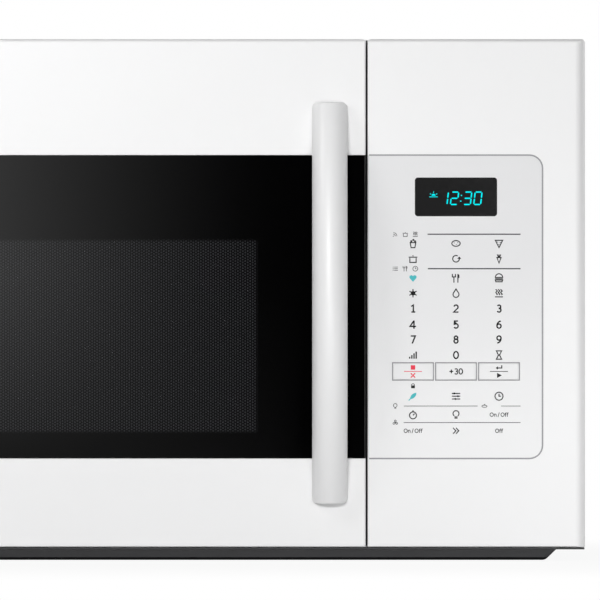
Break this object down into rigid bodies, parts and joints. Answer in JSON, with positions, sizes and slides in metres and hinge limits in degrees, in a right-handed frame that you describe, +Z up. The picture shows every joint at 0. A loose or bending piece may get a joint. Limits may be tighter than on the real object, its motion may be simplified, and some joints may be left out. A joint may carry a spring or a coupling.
{
  "type": "over-the-range microwave oven",
  "caption": "White over-the-range microwave oven with a side-hinged glass door, bowed bar handle, keypad, turntable and a vent hood underneath.",
  "frame": {"origin": "middle of the bounding box, at the height of the flat underside", "axes": "+X to the right seen from the front, +Y from the front to the wall, +Z up"},
  "size_m": [0.759, 0.454, 0.433],
  "materials": {
    "white_plastic": "smooth gloss white moulding",
    "white_paint": "smooth white powder coat",
    "dark_paint": "satin dark grey paint",
    "zinc_steel": "zinc coated sheet",
    "cavity_enamel": "pale speckled oven enamel",
    "black_glass": "polished black glass with a smoked window",
    "screen_paint": "black perforated sheet",
    "clear_sheet": "clear polyester sheet",
    "dark_plastic": "dark grey moulding",
    "keypad_print": "pale grey printed film",
    "display_smoke": "smoked display window",
    "display_glass": "dark display with lit segments",
    "circuit_board": "green circuit board",
    "steel": "plain steel",
    "motor_steel": "stamped steel and copper windings",
    "magnetron_steel": "bright yoke and fins",
    "transformer_iron": "varnished core",
    "capacitor_can": "drawn can",
    "mica": "pale mica sheet",
    "natural_plastic": "off-white moulding",
    "tray_glass": "clear pressed glass",
    "filter_aluminium": "expanded aluminium mesh",
    "lamp_lens": "frosted lens",
    "lamp_glass": "bulb in a ceramic socket",
    "charcoal": "framed charcoal mat",
    "rubber": "black rubber bush"
  },
  "bodies": {
    "chassis": {"control_panel": "white_plastic", "outer_case": "white_paint", "front_plate": "white_paint", "base_pan": "dark_paint", "cabinet_brackets": "zinc_steel", "rear_panel": "zinc_steel", "wall_plate": "zinc_steel", "compartment_floor": "zinc_steel", "waveguide": "zinc_steel", "cooling_shroud": "zinc_steel", "blower_housings": "zinc_steel", "cavity_liner": "cavity_enamel", "vent_grille": "dark_plastic", "keypad_film": "keypad_print", "display_lens": "display_smoke", "display_module": "display_glass", "control_board": "circuit_board", "upper_hinge": "steel", "lower_hinge": "steel", "hinge_pins": "steel", "case_screws": "steel", "hinge_screws": "steel", "cooling_motor": "motor_steel", "blower_motor": "motor_steel", "turntable_motor": "motor_steel", "magnetron": "magnetron_steel", "hv_transformer": "transformer_iron", "hv_capacitor": "capacitor_can", "wave_cover": "mica", "latch_body": "natural_plastic", "door_switches": "natural_plastic", "cooktop_lamp": "lamp_glass", "oven_lamp": "lamp_glass", "charcoal_filter": "charcoal", "cord_bush": "rubber"},
    "door": {"door_frame": "white_plastic", "door_glass": "black_glass", "door_pan": "screen_paint", "door_screen": "screen_paint", "door_inner_sheet": "clear_sheet", "choke_cover": "dark_plastic", "door_back_cover": "natural_plastic", "door_handle": "white_plastic", "handle_screws": "steel"},
    "latch": {"latch_hooks": "natural_plastic"},
    "turntable": {"glass_tray": "tray_glass", "turntable_coupler": "natural_plastic"},
    "roller_ring": {"roller_ring": "natural_plastic"},
    "roller_1": {"roller_wheel_1": "natural_plastic"},
    "roller_2": {"roller_wheel_2": "natural_plastic"},
    "roller_3": {"roller_wheel_3": "natural_plastic"},
    "vent_rotor": {"blower_wheels": "natural_plastic", "blower_shaft": "steel"},
    "fan_rotor": {"cooling_fan": "natural_plastic"},
    "filter_left": {"grease_filter_left": "filter_aluminium"},
    "filter_right": {"grease_filter_right": "filter_aluminium"},
    "lamp_flap": {"lamp_cover": "lamp_lens"},
    "stop_key": {"key_stop": "keypad_print"},
    "add_time_key": {"key_add_time": "keypad_print"},
    "start_key": {"key_start": "keypad_print"}
  },
  "joints": [
    {"name": "door_swing", "type": "hinge", "parent": "chassis", "child": "door", "pos_m": [-0.3675, -0.173, 0.2223], "axis": [0, 0, -1], "range_deg": [0, 100]},
    {"name": "latch_lift", "type": "slide", "parent": "door", "child": "latch", "axis": [0, 0, 1], "range_m": [0, 0.004], "stiffness_N_per_m": 400, "springref_m": -0.003},
    {"name": "turntable_spin", "type": "hinge", "parent": "chassis", "child": "turntable", "pos_m": [-0.0885, 0.028, 0.0764], "axis": [0, 0, 1], "continuous": true},
    {"name": "roller_ring_spin", "type": "hinge", "parent": "chassis", "child": "roller_ring", "pos_m": [-0.0885, 0.028, 0.0764], "axis": [0, 0, 1], "continuous": true},
    {"name": "roller_1_spin", "type": "hinge", "parent": "roller_ring", "child": "roller_1", "pos_m": [-0.0885, 0.1438, 0.0692], "axis": [0, 1, 0], "continuous": true},
    {"name": "roller_2_spin", "type": "hinge", "parent": "roller_ring", "child": "roller_2", "pos_m": [-0.18879, -0.0299, 0.0692], "axis": [-0.866, -0.5, 0], "continuous": true},
    {"name": "roller_3_spin", "type": "hinge", "parent": "roller_ring", "child": "roller_3", "pos_m": [0.01179, -0.0299, 0.0692], "axis": [0.866, -0.5, 0], "continuous": true},
    {"name": "vent_blower_spin", "type": "hinge", "parent": "chassis", "child": "vent_rotor", "pos_m": [0, 0.15, 0.368], "axis": [1, 0, 0], "continuous": true},
    {"name": "cooling_fan_spin", "type": "hinge", "parent": "chassis", "child": "fan_rotor", "pos_m": [0.2735, 0.171, 0.161], "axis": [0, 1, 0], "continuous": true},
    {"name": "filter_left_drop", "type": "slide", "parent": "chassis", "child": "filter_left", "axis": [0, 0, -1], "range_m": [0, 0.04]},
    {"name": "filter_right_drop", "type": "slide", "parent": "chassis", "child": "filter_right", "axis": [0, 0, -1], "range_m": [0, 0.04]},
    {"name": "lamp_flap_swing", "type": "hinge", "parent": "chassis", "child": "lamp_flap", "pos_m": [0, -0.0681, 0.0021], "axis": [1, 0, 0], "range_deg": [0, 75]},
    {"name": "stop_press", "type": "slide", "parent": "chassis", "child": "stop_key", "axis": [0, 1, 0], "range_m": [0, 0.0005], "stiffness_N_per_m": 4000},
    {"name": "add_time_press", "type": "slide", "parent": "chassis", "child": "add_time_key", "axis": [0, 1, 0], "range_m": [0, 0.0005], "stiffness_N_per_m": 4000},
    {"name": "start_press", "type": "slide", "parent": "chassis", "child": "start_key", "axis": [0, 1, 0], "range_m": [0, 0.0005], "stiffness_N_per_m": 4000}
  ],
  "couplings": [
    {"joint": "roller_ring_spin", "follows": "turntable_spin", "ratio": 0.5},
    {"joint": "roller_1_spin", "follows": "turntable_spin", "ratio": -8.2714},
    {"joint": "roller_2_spin", "follows": "turntable_spin", "ratio": -8.2714},
    {"joint": "roller_3_spin", "follows": "turntable_spin", "ratio": -8.2714}
  ]
}
